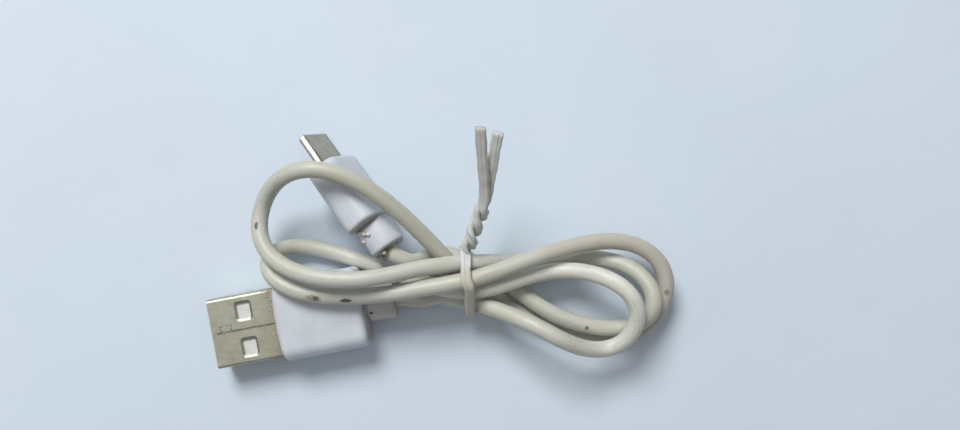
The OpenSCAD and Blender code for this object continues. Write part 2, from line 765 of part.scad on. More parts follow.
// flat section: eight points on the ribbon's outline, and eight round its wire core
tie_outline = [
    for (k = [0:7]) let (s = k < 4 ? 1 : -1, c = [1, 0.6, -0.6, -1][k % 4])
        [s * c * tie_w / 2, s * (abs(c) == 1 ? 0.2 : 0.5) * tie_t]
];
tie_bore = [for (k = [0:7]) (tie_core_d / 2 + tie_core_play) * [cos(45 * k + 22.5), sin(45 * k + 22.5)]];

function flat_ring(i, section) = let (
    t = unit(tie_ahead[i]),
    w = unit(cross(t, tie_facing[i])),
    n = cross(w, t)
) [for (s = section) tie_line[i] + s[0] * w + s[1] * n];

function ring_cap(a, b, n, turn = false) = [
    for (k = [0:n - 1]) let (l = (k + 1) % n) each turn
        ? [[a + k, a + l, b + k], [a + l, b + l, b + k]]
        : [[a + l, a + k, b + k], [b + l, a + l, b + k]]
];

module tie_ribbon() color(tie_white) translate(shift) {
    count = len(tie_line);
    inner = 8 * count;
    points = concat(
        [for (i = [0:count - 1]) each flat_ring(i, tie_outline)],
        [for (i = [0:count - 1]) each flat_ring(i, tie_bore)]
    );
    polyhedron(points, concat(
        skin(count, 8),
        skin(count, 8, inner, true),
        ring_cap(0, inner, 8),
        ring_cap(8 * (count - 1), inner + 8 * (count - 1), 8, true)
    ), convexity = 12);
}

module tie_core() color(steel) translate(shift) {
    count = len(tie_line);
    section = [for (k = [0:5]) tie_core_d / 2 * [cos(60 * k), sin(60 * k)]];
    points = [for (i = [0:count - 1]) each flat_ring(i, section)];
    polyhedron(points, concat(skin(count, 6), cap(0, 6), cap(6 * (count - 1), 6, true)), convexity = 12);
}

type_a_shell();
type_a_tongue();
type_a_contact_power();
type_a_contact_data_minus();
type_a_contact_data_plus();
type_a_contact_ground();
type_a_inner_mould();
type_a_overmould();
type_a_wire_red();
type_a_wire_white();
type_a_wire_green();
type_a_wire_black();
micro_b_shell();
micro_b_insulator();
micro_b_contact_power();
micro_b_contact_data_minus();
micro_b_contact_data_plus();
micro_b_contact_id();
micro_b_contact_ground();
micro_b_latch_upper();
micro_b_latch_lower();
micro_b_inner_mould();
micro_b_overmould();
micro_b_wire_red();
micro_b_wire_white();
micro_b_wire_green();
micro_b_wire_black();
micro_b_lead();
cord_hank();
type_a_lead();
tie_ribbon();
tie_core();
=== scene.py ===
"""The dressed charging cable: jacket, moulded grips, steel shells, contacts and the twist tie.

Lengths in the tables below are millimetres, as on the maker's drawing. BENCH carries the
drawing's origin to the frame's, and everything is turned into metres as it is made."""

import math

import bmesh
import bpy
import numpy as np
from mathutils import Euler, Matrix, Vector, noise


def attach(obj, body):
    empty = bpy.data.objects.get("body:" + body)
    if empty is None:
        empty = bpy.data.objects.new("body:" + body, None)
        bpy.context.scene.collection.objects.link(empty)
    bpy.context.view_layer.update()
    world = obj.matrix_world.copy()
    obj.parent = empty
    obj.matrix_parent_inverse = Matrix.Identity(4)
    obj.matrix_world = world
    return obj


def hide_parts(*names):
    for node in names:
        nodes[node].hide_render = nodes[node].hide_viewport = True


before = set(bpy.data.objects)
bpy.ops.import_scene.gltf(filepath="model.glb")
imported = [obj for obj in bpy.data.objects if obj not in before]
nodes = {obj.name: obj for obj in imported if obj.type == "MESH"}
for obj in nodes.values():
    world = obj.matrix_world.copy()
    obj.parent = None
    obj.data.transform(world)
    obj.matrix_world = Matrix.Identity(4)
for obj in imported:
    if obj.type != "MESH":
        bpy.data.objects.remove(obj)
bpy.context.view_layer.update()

MM = 0.001
BENCH = np.array([21.66, 6.05, 0.0])


# ---- the sizes that the pieces share ----
CORD = 2.8  # thickness of the cord
SEAT = 2.4  # how deep each of its ends stands in a strain relief

# A plug's own x runs from the cord to the mouth, its y across and its z up.
#   exit, turn         where the cord leaves it, and its turn in degrees
#   relief             length and diameter of the strain relief
#   grip               length, width and height of the grip
#   edge, rear, front  radii of the grip's edges: lengthwise, at its rear and at its front
#   bulge, lip         how far its front face and its parting line stand out
#   neck               depth of the groove behind the grip, as a share of GROOVE's
#   relief_shadow      how much painted shadow darkens the relief, from 0 to 1
#   show               length of the shell outside the grip
#   windows            how far back from the mouth and aside from the middle, and their size
#   folds              half the shell's width, and the heights of its upper and lower fold
PLUG_A = {
    "exit": np.array([-14.7, -14.7, 3.8]), "turn": (0.0, 0.0, 190.7),
    "relief": (5.2, 6.0), "grip": (14.9, 14.1, 7.6),
    "edge": 2.4, "rear": 1.3, "front": 0.7, "bulge": 0.4, "lip": 0.15,
    "neck": 1.0, "relief_shadow": 0.55,
    "show": 11.7, "windows": {"back": 6.05, "aside": 3.15, "size": (2.3, 2.7)},
}
PLUG_B = {
    "exit": np.array([-15.4, -5.6, 7.56]), "turn": (68.0, 8.0, 126.0),
    "relief": (5.15, 6.2), "grip": (12.5, 10.2, 6.0),
    "edge": 2.2, "rear": 0.8, "front": 0.8, "bulge": 0.3, "lip": 0.03,
    "neck": 0.4, "relief_shadow": 0.1,
    "folds": (3.42, 0.9, -0.2),
}


def unit(v):
    """The vector's direction, with length 1."""
    return v / np.linalg.norm(v)


def quarter(steps):
    """Angles from 0 to a right angle, in radians."""
    return [math.pi / 2 * k / steps for k in range(steps + 1)]


def metres(points):
    """Points of the drawing, in metres in the frame."""
    return (np.asarray(points, float) + BENCH) * MM


def turned(plug):
    """The plug's own axes as the columns of a matrix."""
    return np.array(Euler([math.radians(a) for a in plug["turn"]], "XYZ").to_matrix())


def on_plug(plug, points):
    """Points measured on a plug, in metres in the frame."""
    return metres(np.asarray(points, float) @ turned(plug).T + plug["exit"])


# ---- the cord's route: five loops to and fro through the waist ----
WAIST = np.array([-1.7, -11.8])
# each loop: the side of the waist that it is on, its tilt in degrees, its reach, its width on
# the way out and back, how far it bows, and the two powers that shape its belly
LOOPS = [
    (1, -6.4, 31.6, -5.8, 6.2, 0.7, 1.4, 0.5),
    (-1, 20.8, 37.7, -9.4, 8.4, 1.7, 1.3, 1.1),
    (1, -1.1, 34, -9.4, 8.4, -0.6, 1.25, 0.5),
    (-1, 6.5, 34.8, -3.5, 3.8, -1.4, 1.45, 2.8),
    (1, -12.9, 28.7, 5.6, -7.1, 1.2, 1.4, 0.9),
]
# each pass through the waist: how far beside WAIST it is, and how high
CROSSINGS = [(3.7, 2.6), (3.4, 8.2), (-0.1, 4), (0.8, 10.6), (-1.4, 8.2), (-3.1, 5.4)]
# the heights of each loop between two passes
LOOP_HEIGHTS = [
    (4.7, 4.5, 7.2, 5.2, 2.3), (13.1, 9.5, 7.6, 13.6, 12), (1.5, 2.2, 4.9, 5.6, 7.2),
    (9.6, 9.1, 6.3, 2, 3), (5.8, 10.7, 9.3, 6.6, 11.4),
]
HEIGHTS = [z for c, row in zip(CROSSINGS, LOOP_HEIGHTS) for z in (c[1], *row)] + [CROSSINGS[-1][1]]
# tau runs along the loops: 360 for each loop, and 60 from one height to the next
WHOLE = 360.0 * len(LOOPS)
HEIGHT_STEP = 60
EASE = 15.0  # how far to both sides route() takes its average
CHORD = 4  # the stretch of tau that shows which way the cord runs
HANK_STEP = 3  # of tau, between the points of the loops
LEAD_STEPS = 8  # between two points of a lead
CORD_STEP = 0.55  # between the points of the finished route, in millimetres


def between(a, b, c, d, f):
    """A point between b and c on the smooth curve through a, b, c and d."""
    return (2 * b + (c - a) * f + (2 * a - 5 * b + 4 * c - d) * f**2 + (3 * b - a - 3 * c + d) * f**3) / 2


def belly(u, a, q):
    """Width of a loop between its root and its tip, 1 at its widest."""
    w = a / (a + q / 2)
    top = (w ** (1 / q)) ** a * math.sqrt(1 - w)
    return u**a * math.sqrt(max(0.0, 1 - u**q)) / top


def loop_point(tau):
    """A point of the five loops."""
    i = min(len(LOOPS) - 1, int(tau // 360))
    side, tilt, reach, out, back, bow, a, q = LOOPS[i]
    t = tau - 360 * i
    returning = t > 180
    # u goes from 0 at the waist to 1 at the loop's tip, and back
    u = math.sin(math.radians(t / 2))
    across = (back if returning else out) * belly(u, a, q) + bow * 4 * u * (1 - u)
    # halfway to the tip a strand has left its own place in the waist for the loop's middle line
    eased = min(max(2 * u, 0.0), 1.0)
    root = CROSSINGS[i + 1 if returning else i][0] * (1 - eased * eased * (3 - 2 * eased))
    c, s = math.cos(math.radians(tilt)), math.sin(math.radians(tilt))
    n = len(HEIGHTS) - 1
    k = min(n - 1, int(tau // HEIGHT_STEP))
    z = between(HEIGHTS[max(k - 1, 0)], HEIGHTS[k], HEIGHTS[k + 1], HEIGHTS[min(k + 2, n)],
                tau / HEIGHT_STEP - k)
    return np.array([
        WAIST[0] + side * reach * u * c - across * side * s,
        WAIST[1] + reach * u * s + across * c + root,
        z,
    ])


def route(tau):
    """The same, averaged over a short stretch, so that each loop runs smoothly into the next."""
    e = min(EASE, tau, WHOLE - tau)
    return (loop_point(tau - e) + 2 * loop_point(tau) + loop_point(tau + e)) / 4


def through(points, steps):
    """A smooth line through points, with so many steps between neighbours."""
    p = [np.asarray(x, float) for x in points]
    p = [2 * p[0] - p[1], *p, 2 * p[-1] - p[-2]]
    line = [between(p[i], p[i + 1], p[i + 2], p[i + 3], k / steps)
            for i in range(len(p) - 3) for k in range(steps)]
    return np.array([*line, p[-2]])


def travelled(points):
    """How far along its line each point is."""
    return np.concatenate([[0], np.cumsum(np.linalg.norm(np.diff(points, axis=0), axis=1))])


def spaced(table, count):
    """A table of points, with anything that goes with them, as so many points evenly apart."""
    gone = travelled(table[:, :3])
    stops = np.linspace(0, gone[-1], count)
    return np.stack([np.interp(stops, gone, column) for column in table.T], axis=1)


def cord_route():
    """The whole cord, from inside the type-A strain relief to inside the micro-B one."""
    a_dir, b_dir = turned(PLUG_A)[:, 0], turned(PLUG_B)[:, 0]
    into = unit(route(CHORD) - route(0))
    out = unit(route(WHOLE) - route(WHOLE - CHORD))
    start, end = route(0) - CORD * into, route(WHOLE) + CORD * out
    a_exit, b_exit = PLUG_A["exit"], PLUG_B["exit"]
    b_lead = through([
        b_exit + SEAT * b_dir, b_exit, b_exit - CORD / 2 * b_dir,
        (-11.5, -8, 6.8), (-8.5, -7.2, 3.3), start - CORD / 2 * into, start,
    ], LEAD_STEPS)
    a_lead = through([
        end, end + CORD / 2 * out, (-8, -14.3, 3.5), (-10.5, -14.8, 3.1),
        a_exit - CORD / 2 * a_dir, a_exit, a_exit + SEAT * a_dir,
    ], LEAD_STEPS)
    hank = np.array([route(tau) for tau in np.arange(0, WHOLE + 1, HANK_STEP)])
    line = np.concatenate([b_lead, hank, a_lead])[::-1]
    return spaced(line, int(round(travelled(line)[-1] / CORD_STEP)) + 1)


# ---- arithmetic on sockets ----
class Value:
    """An output socket that takes part in sums; each operator adds its own Math node."""

    def __init__(self, graph, socket):
        self.graph = graph
        self.socket = socket

    def __add__(self, other):
        return self.graph.sum("ADD", self, other)

    def __sub__(self, other):
        return self.graph.sum("SUBTRACT", self, other)

    def __rsub__(self, other):
        return self.graph.sum("SUBTRACT", other, self)

    def __mul__(self, other):
        return self.graph.sum("MULTIPLY", self, other)

    def __truediv__(self, other):
        return self.graph.sum("DIVIDE", self, other)

    def __rtruediv__(self, other):
        return self.graph.sum("DIVIDE", other, self)

    def __pow__(self, other):
        return self.graph.sum("POWER", self, other)

    def __abs__(self):
        return self.graph.sum("ABSOLUTE", self)

    __radd__ = __add__
    __rmul__ = __mul__

    def least(self, other):
        """The smaller of the two."""
        return self.graph.sum("MINIMUM", self, other)

    def most(self, other):
        """The larger of the two."""
        return self.graph.sum("MAXIMUM", self, other)


class Graph:
    """A node tree that is written down as expressions."""

    def __init__(self, tree):
        self.tree = tree

    def node(self, kind, settings=None, inputs=None, output=0):
        """Adds a node: first its settings, then the values or links of its sockets."""
        made = self.tree.nodes.new(kind)
        for name, value in (settings or {}).items():
            setattr(made, name, value)
        for name, value in (inputs or {}).items():
            self.feed(self.pick(made.inputs, name), value)
        if not made.outputs:
            return None
        return Value(self, self.pick(made.outputs, output))

    def pick(self, sockets, name):
        """The socket of that number, name or identifier, among those in use."""
        live = [s for s in sockets if s.enabled]
        if isinstance(name, int):
            return live[name]
        return next(s for s in live if name in (s.name, s.identifier))

    def feed(self, socket, value):
        """Links a value to a socket, or writes a plain number, vector or colour in it."""
        if isinstance(value, Value):
            self.tree.links.new(value.socket, socket)
        elif isinstance(value, (tuple, list)) and len(value) == 3 and socket.type == "RGBA":
            socket.default_value = (*value, 1.0)
        else:
            socket.default_value = value

    def sum(self, operation, *terms):
        """Arithmetic on numbers."""
        return self.node("ShaderNodeMath", {"operation": operation}, dict(enumerate(terms)))

    def vector(self, operation, *terms, output=0):
        """Arithmetic on vectors."""
        settings = {"operation": operation}
        return self.node("ShaderNodeVectorMath", settings, dict(enumerate(terms)), output)


class Finish(Graph):
    """A surface finish. Patterns are laid out in millimetres."""

    def __init__(self, name):
        self.material = bpy.data.materials.new(name)
        self.material.use_nodes = True
        super().__init__(self.material.node_tree)
        self.tree.nodes.clear()
        self._solid = None

    @property
    def solid(self):
        """Place on the solid, along the frame's axes."""
        if self._solid is None:
            self._solid = self.placed((0, 0, 0), (0, 0, 0))
        return self._solid

    def placed(self, at, turn):
        """Place on the solid, measured from a point and along turned axes."""
        plain = self.node("ShaderNodeTexCoord", output="Object")
        return self.node("ShaderNodeMapping", {"vector_type": "TEXTURE"}, {
            "Vector": plain, "Location": tuple(at),
            "Rotation": tuple(math.radians(a) for a in turn), "Scale": (MM, MM, MM),
        })

    def on_plug(self, plug):
        """Place on a plug, along its own axes."""
        return self.placed(metres(plug["exit"]), plug["turn"])

    def facing(self, direction):
        """How squarely the surface faces a direction of the frame, from -1 to 1."""
        normal = self.node("ShaderNodeTexCoord", output="Normal")
        return self.vector("DOT_PRODUCT", normal, tuple(direction), output="Value")

    def stored(self, name, output):
        """What the mesh itself holds under that name."""
        return self.node("ShaderNodeAttribute", {"attribute_name": name}, output=output)

    def part(self, vector, axis):
        """One coordinate of a vector."""
        return self.node("ShaderNodeSeparateXYZ", None, {0: vector}, axis)

    def stretch(self, vector, factors):
        """A place with its axes scaled; a factor below 1 draws a pattern out along that axis."""
        return self.vector("MULTIPLY", vector, tuple(factors))

    def cloud(self, where, per_mm, detail=4.0, rough=0.55, twist=0.0):
        """Noise, mostly between 0.3 and 0.7."""
        return self.node("ShaderNodeTexNoise", None, {
            "Vector": where, "Scale": per_mm, "Detail": detail, "Roughness": rough, "Distortion": twist,
        })

    def cells(self, where, per_mm):
        """How far the nearest of many scattered points is."""
        return self.node("ShaderNodeTexVoronoi", None, {"Vector": where, "Scale": per_mm}, "Distance")

    def rise(self, value, low, high):
        """0 below low and 1 above high, with a smooth step between them."""
        return self.node("ShaderNodeMapRange", {"interpolation_type": "SMOOTHSTEP"}, {
            "Value": value, "From Min": low, "From Max": high,
        })

    def blend(self, share, a, b):
        """Colour a where the share is 0, and colour b where it is 1."""
        return self.node("ShaderNodeMix", {"data_type": "RGBA"}, {"Factor": share, "A": a, "B": b})

    def relief(self, height, depth, before=None):
        """A bump of that depth in millimetres, over an earlier one if there is one."""
        inputs = {"Strength": 1.0, "Distance": depth * MM, "Height": height}
        if before is not None:
            inputs["Normal"] = before
        return self.node("ShaderNodeBump", None, inputs)

    def done(self, colour, rough, bump, **fixed):
        """Closes the finish. Sockets that stay the same all over are named with _ for a space."""
        inputs = {"Base Color": colour, "Roughness": rough, "Normal": bump}
        inputs.update({name.replace("_", " "): value for name, value in fixed.items()})
        surface = self.node("ShaderNodeBsdfPrincipled", None, inputs)
        self.node("ShaderNodeOutputMaterial", None, {"Surface": surface})
        return self.material


def tint(r, g, b):
    """A colour read off a chart, 0 to 255, as the shader's linear numbers."""
    return tuple(((c / 255 + 0.055) / 1.055) ** 2.4 if c > 10 else c / 3295 for c in (r, g, b))


# ---- finishes ----
# each smudge on the jacket: how far from the type-A end, half its length, the side that it is
# on, how squarely the jacket faces that side at the smudge's edge, its colour and strength
SMUDGES = [
    (22.0, 0.4, (0.0, 0.2, 0.98), 0.93, (133, 127, 110), 0.6),
    (36.2, 0.9, (0.0, 0.3, 0.95), 0.9, (164, 160, 127), 0.5),
    (135.4, 1.45, (0.0, -0.38, 0.92), 0.88, (143, 143, 103), 0.8),
    (135.8, 0.55, (0.0, -0.34, 0.94), 0.95, (88, 90, 76), 0.9),
    (140.8, 1.1, (0.0, -0.42, 0.91), 0.96, (74, 76, 72), 0.95),
    (184.9, 1.3, (0.0, -0.1, 0.99), 0.72, (182, 158, 143), 0.4),
    (189.5, 1.0, (0.2, 0.1, 0.97), 0.8, (189, 167, 155), 0.35),
    (196.0, 4.2, (0.75, 0.0, 0.66), 0.55, (174, 164, 152), 0.4),
    (201.7, 0.7, (-0.05, 0.0, 0.99), 0.9, (121, 117, 86), 0.75),
    (228.3, 0.6, (0.0, 0.0, 1.0), 0.88, (158, 155, 134), 0.5),
    (294.9, 1.0, (-0.14, 0.0, 0.99), 0.95, (74, 86, 88), 0.95),
    (298.4, 0.8, (-0.14, -0.12, 0.98), 0.95, (122, 119, 91), 0.85),
    (330.5, 2.4, (0.0, 0.5, 0.86), 0.8, (184, 179, 155), 0.45),
    (380.0, 0.9, (0.0, 0.3, 0.95), 0.85, (165, 157, 134), 0.55),
    (386.9, 0.4, (0.0, -0.25, 0.97), 0.95, (105, 98, 83), 0.85),
    (426.6, 0.9, (-0.5, -0.5, 0.7), 0.1, (121, 110, 90), 0.85),
]


def jacket_finish():
    """Cream PVC with a soft shine, yellowing in patches and browned by use, with painted shade on one
    stretch.
    """
    f = Finish("cord_jacket")
    along = f.stored("along", "Fac")
    ring = f.stored("ring", "Vector")
    straight = f.node("ShaderNodeCombineXYZ", None, {
        "X": along, "Y": f.part(ring, "X") / MM, "Z": f.part(ring, "Y") / MM,
    })
    ageing = f.rise(f.cloud(f.stretch(straight, (0.045, 0.25, 0.25)), 1.0, 2.0), 0.35, 0.68)
    colour = f.blend(ageing, tint(193, 196, 188), tint(186, 185, 170))
    # one stretch is browner, from handling and from painted shade on a strand that lies in shadow, and one
    # nearer the type-A plug has stayed fresh
    handled_and_shaded = f.rise(along + (ageing - 0.5) * 30.0, 165.0, 190.0) * (1 - f.rise(along, 240.0, 262.0))
    colour = f.blend(handled_and_shaded * 0.7, colour, tint(178, 173, 164))
    fresh = 1 - f.rise(abs(along - 74.0) + (ageing - 0.5) * 16.0, 34.0, 56.0)
    colour = f.blend(fresh * 0.85, colour, tint(212, 213, 204))
    mottle = f.cloud(f.stretch(straight, (0.5, 1.2, 1.2)), 1.0, 5.0, 0.6)
    colour = f.blend(f.rise(mottle, 0.45, 0.8) * 0.45, colour, tint(173, 166, 145))
    streaks = f.cloud(f.stretch(straight, (0.12, 3.2, 3.2)), 1.0, 3.0, 0.6)
    colour = f.blend(f.rise(streaks, 0.5, 0.78) * 0.4, colour, tint(165, 158, 138))
    dirt = f.rise(f.cloud(f.stretch(straight, (0.09, 0.5, 0.5)), 1.3, 6.0, 0.7), 0.6, 0.78)
    colour = f.blend(dirt * 0.5, colour, tint(150, 138, 112))
    specks = 1 - f.rise(f.cells(straight, 0.42), 0.03, 0.085)
    colour = f.blend(specks * 0.55, colour, tint(148, 136, 110))
    edge = f.cloud(f.stretch(straight, (1.6, 2.4, 2.4)), 1.4, 4.0, 0.7)
    for at, half, side, squarely, shade, strength in SMUDGES:
        lengthwise = abs(along - at) / half
        round_it = (1 - f.facing(unit(np.array(side)))) / (1 - squarely)
        mark = 1 - f.rise(lengthwise * lengthwise + round_it + (edge - 0.5) * 1.6, 0.45, 1.15)
        colour = f.blend(mark * strength, colour, tint(*shade))
    wear = f.cloud(straight, 3.5, 4.0, 0.65)
    rough = 0.42 + mottle * 0.12 + dirt * 0.12 + f.rise(wear, 0.5, 0.8) * 0.08
    bump = f.relief(f.cloud(f.stretch(straight, (0.35, 2.2, 2.2)), 1.6, 4.0, 0.5), 0.035)
    bump = f.relief(wear, 0.012, bump)
    return f.done(colour, rough, bump, IOR=1.5, Coat_Weight=0.1, Coat_Roughness=0.3)


BLACK_SPOT = ((4.2, 1.3, 2.7), 0.34)  # on the type-A relief: its place on the plug, its radius


def grip_finish(name, plug, spots=()):
    """White moulded plastic, slightly blue, with grime in its joints, painted shadow on its relief, and any
    black spots.
    """
    f = Finish(name)
    here = f.on_plug(plug)
    x = f.part(here, "X")
    relief, grip = plug["relief"][0], plug["grip"][0]
    cloud = f.cloud(here, 0.22, 3.0)
    colour = f.blend(f.rise(cloud, 0.35, 0.7), tint(202, 208, 215), tint(195, 201, 209))
    flow = f.cloud(f.stretch(here, (0.25, 1.1, 1.1)), 1.0, 4.0, 0.6, 0.4)
    colour = f.blend(f.rise(flow, 0.52, 0.8) * 0.25, colour, tint(188, 190, 197))
    # painted shadow: the relief turns a brownish grey where the strands above would shade it
    relief_shade = (1 - f.rise(x + (cloud - 0.5) * 1.5, relief - 1.2, relief + 0.2)) * plug["relief_shadow"]
    colour = f.blend(relief_shade, colour, tint(178, 170, 163))
    broken = f.cloud(here, 1.5, 5.0, 0.7)
    joint = 1 - f.rise(abs(x - relief + 0.15) + (broken - 0.5) * 1.2, 0.15, 0.85)
    mouth = 1 - f.rise(abs(x - relief - grip) + (broken - 0.5) * 1.0, 0.05, 0.5)
    tail = 1 - f.rise(x + (broken - 0.5) * 1.6, 0.1, 0.9)
    grime = f.rise(broken, 0.42, 0.66)
    colour = f.blend((joint * (0.4 + grime * 0.5)).least(0.9), colour, tint(138, 122, 110))
    colour = f.blend(mouth * (0.2 + grime * 0.45), colour, tint(176, 168, 154))
    colour = f.blend(tail * (0.25 + grime * 0.5), colour, tint(150, 142, 130))
    specks = 1 - f.rise(f.cells(here, 0.5), 0.03, 0.07)
    colour = f.blend(specks * 0.5, colour, tint(156, 150, 143))
    fine = f.cloud(here, 5.5, 3.0, 0.6)
    for at, radius in spots:
        away = f.vector("DISTANCE", here, at, output="Value") + (fine - 0.5) * 0.2
        colour = f.blend(1 - f.rise(away, 0.6 * radius, radius), colour, tint(66, 58, 53))
    rough = 0.4 + fine * 0.14 + joint * 0.1
    bump = f.relief(fine, 0.012)
    bump = f.relief(f.cloud(here, 0.6, 3.0), 0.05, bump)
    return f.done(colour, rough, bump, IOR=1.48, Subsurface_Weight=0.12,
                  Subsurface_Radius=(0.0016, 0.0015, 0.0013), Subsurface_Scale=0.5,
                  Coat_Weight=0.12, Coat_Roughness=0.3)


def glue_finish():
    """Drops of clear glue, with grime caught between them."""
    f = Finish("joint_glue")
    cloud = f.cloud(f.solid, 1.8, 4.0, 0.6)
    colour = f.blend(f.rise(cloud, 0.4, 0.62), tint(203, 202, 202), tint(166, 154, 140))
    fine = f.cloud(f.solid, 5.0, 3.0)
    rough = 0.12 + fine * 0.16
    return f.done(colour, rough, f.relief(fine, 0.03), Coat_Weight=0.6, Coat_Roughness=0.08)


def steel_finish(name, plug, *, worn, clean, dull, matt):
    """Nickel-plated sheet in a clean and a dull shade, scratched by sockets. How worn it is,
    from 0 to 1, sets how stained it is towards the grip; matt is its least roughness."""
    f = Finish(name)
    here = f.on_plug(plug)
    base = plug["relief"][0] + plug["grip"][0]
    x = f.part(here, "X") - base
    cloud = f.cloud(here, 0.5, 5.0, 0.62)
    fine = f.cloud(here, 3.0, 5.0, 0.7)
    colour = f.blend(f.rise(cloud, 0.35, 0.7), tint(*clean), tint(*dull))
    near = 1 - f.rise(x + (cloud - 0.5) * 5.0 * worn, 0.2, 3.8)
    stain = near * f.rise(fine, 0.36, 0.58) * worn
    colour = f.blend(near * 0.35 * worn, colour, tint(168, 157, 138))
    colour = f.blend(stain * 0.45, colour, tint(124, 112, 94))
    patches = f.rise(f.cloud(f.stretch(here, (0.7, 1.3, 1.0)), 0.6, 6.0, 0.75), 0.56, 0.68) * worn
    colour = f.blend(patches * 0.4, colour, tint(184, 174, 148))
    lines = f.cloud(f.stretch(here, (0.25, 14.0, 14.0)), 1.0, 2.0, 0.5)
    scratches = f.rise(lines, 0.66, 0.74)
    seam = (1 - f.rise(abs(f.part(here, "Y")) + (fine - 0.5) * 0.6, 0.04, 0.34)) * worn
    colour = f.blend(seam * f.rise(f.part(here, "Z"), 0.5, 1.0) * 0.6, colour, tint(124, 111, 92))
    colour = f.blend(scratches * 0.45, colour, tint(240, 239, 233))
    pits = 1 - f.rise(f.cells(here, 1.1), 0.05, 0.13)
    colour = f.blend(pits * 0.5 * worn, colour, tint(142, 130, 112))
    rough = matt + cloud * 0.16 + stain * 0.3 + patches * 0.16 + fine * 0.08 - scratches * 0.05
    bump = f.relief(lines, 0.006)
    bump = f.relief(fine, 0.008, bump)
    bump = f.relief(f.cloud(here, 0.35, 2.0), 0.05, bump)
    if "windows" in plug:
        bump = f.relief(window_edges(f, here, plug), 0.22, bump)
    if "folds" in plug:
        # its narrow sides, beyond the folds, get a near-white painted highlight, and the folds a dark
        # painted reflection
        side = f.rise(abs(f.part(here, "Y")), plug["folds"][0] - 0.08, plug["folds"][0] - 0.02)
        colour = f.blend(side, colour, tint(246, 244, 230))
        colour = f.blend(fold_dark_reflection(f, here, plug) * 0.85, colour, tint(58, 55, 48))
    return f.done(colour, rough, bump, Metallic=1.0)


def fold_dark_reflection(f, here, plug):
    """1 along the folds of the sheet, where a dark line is painted as the reflection that they show."""
    y, high, low = plug["folds"]
    aside = (abs(f.part(here, "Y")) - y) ** 2.0
    above = (aside + (f.part(here, "Z") - high) ** 2.0) ** 0.5
    below = (aside + (f.part(here, "Z") - low) ** 2.0) ** 0.5
    return (1 - f.rise(above, 0.16, 0.27)).most(1 - f.rise(below, 0.14, 0.26))


def window_edges(f, here, plug):
    """1 on the sheet and less round its two punched windows, whose edges are drawn in."""
    windows = plug["windows"]
    middle = plug["relief"][0] + plug["grip"][0] + plug["show"] - windows["back"]
    beside_x = abs(f.part(here, "X") - middle) - (windows["size"][0] / 2 - 0.3)
    beside_y = abs(abs(f.part(here, "Y")) - windows["aside"]) - (windows["size"][1] / 2 - 0.3)
    away = (beside_x.most(0.0) ** 2.0 + beside_y.most(0.0) ** 2.0) ** 0.5
    return f.rise(away, 0.25, 0.72)


def gold_finish():
    """Contacts: thin gold over nickel, rubbed where the socket's springs slide."""
    f = Finish("contact_gold")
    fine = f.cloud(f.stretch(f.solid, (6.0, 6.0, 2.0)), 1.0, 4.0, 0.6)
    colour = f.blend(f.rise(fine, 0.4, 0.7), tint(226, 186, 110), tint(198, 160, 96))
    rubbed = f.rise(f.cloud(f.solid, 1.4, 4.0), 0.58, 0.72)
    colour = f.blend(rubbed * 0.5, colour, tint(206, 200, 184))
    return f.done(colour, 0.2 + fine * 0.18, f.relief(fine, 0.006), Metallic=1.0)


# plastics inside the plugs: two shades and roughness
PLASTICS = {
    # the tongue's white is toned down to grey as painted shade, for where it lies under the shell
    "tongue_white_shaded": ((214, 214, 211), (203, 203, 198), 0.5),
    "insulator_black": ((38, 38, 41), (28, 28, 30), 0.42),
    "inner_mould_white": ((226, 227, 222), (205, 205, 196), 0.6),
    "wire_red": ((186, 34, 30), (160, 26, 24), 0.4),
    "wire_white": ((232, 232, 228), (214, 214, 208), 0.4),
    "wire_green": ((36, 128, 62), (28, 106, 50), 0.4),
    "wire_black": ((32, 32, 34), (24, 24, 26), 0.4),
}


def moulding_finish(name, light, dark, rough):
    """Plain moulded plastic inside the plugs, a little uneven and dusty."""
    f = Finish(name)
    cloud = f.cloud(f.solid, 0.8, 4.0)
    fine = f.cloud(f.solid, 6.0, 3.0, 0.6)
    colour = f.blend(f.rise(cloud, 0.35, 0.7), tint(*light), tint(*dark))
    dust = f.rise(fine, 0.58, 0.75)
    colour = f.blend(dust * 0.2, colour, tint(176, 170, 156))
    return f.done(colour, rough - 0.08 + fine * 0.16, f.relief(fine, 0.01))


def tie_finish():
    """The tie's paper and film: greyish white, ribbed lengthwise, dirty on its folds."""
    f = Finish("tie_paper")
    along = f.stored("along", "Fac")
    across = f.stored("across", "Vector")
    sheet = f.node("ShaderNodeCombineXYZ", None, {
        "X": along, "Y": f.part(across, "X"), "Z": f.part(across, "Y"),
    })
    cloud = f.cloud(f.stretch(sheet, (0.3, 0.6, 0.6)), 1.0, 4.0)
    colour = f.blend(f.rise(cloud, 0.35, 0.7), tint(207, 211, 209), tint(195, 198, 192))
    banded = f.rise(along, 26.0, 29.0) * (1 - f.rise(along, 58.0, 60.0))
    colour = f.blend(banded * 0.7, colour, tint(184, 178, 156))
    end = f.rise(along, 72.0, 76.0)
    colour = f.blend(end * 0.5, colour, tint(168, 161, 159))
    ribs = f.cloud(f.stretch(sheet, (0.08, 2.6, 2.6)), 1.0, 2.0, 0.4)
    colour = f.blend(f.rise(ribs, 0.5, 0.66) * 0.4, colour, tint(142, 138, 122))
    fibres = f.cloud(f.stretch(sheet, (0.35, 7.0, 7.0)), 1.0, 4.0, 0.65)
    colour = f.blend(f.rise(fibres, 0.5, 0.78) * 0.45, colour, tint(146, 146, 136))
    dirt = f.rise(f.cloud(f.stretch(sheet, (0.5, 0.9, 0.9)), 1.1, 6.0, 0.75), 0.6, 0.74)
    colour = f.blend(dirt * 0.6, colour, tint(160, 149, 129))
    rough = 0.48 + fibres * 0.2 + dirt * 0.1
    bump = f.relief(ribs, 0.12, f.relief(fibres, 0.04))
    bump = f.relief(f.cloud(sheet, 2.2, 4.0, 0.6), 0.03, bump)
    return f.done(colour, rough, bump, Sheen_Weight=0.08, Sheen_Roughness=0.5)


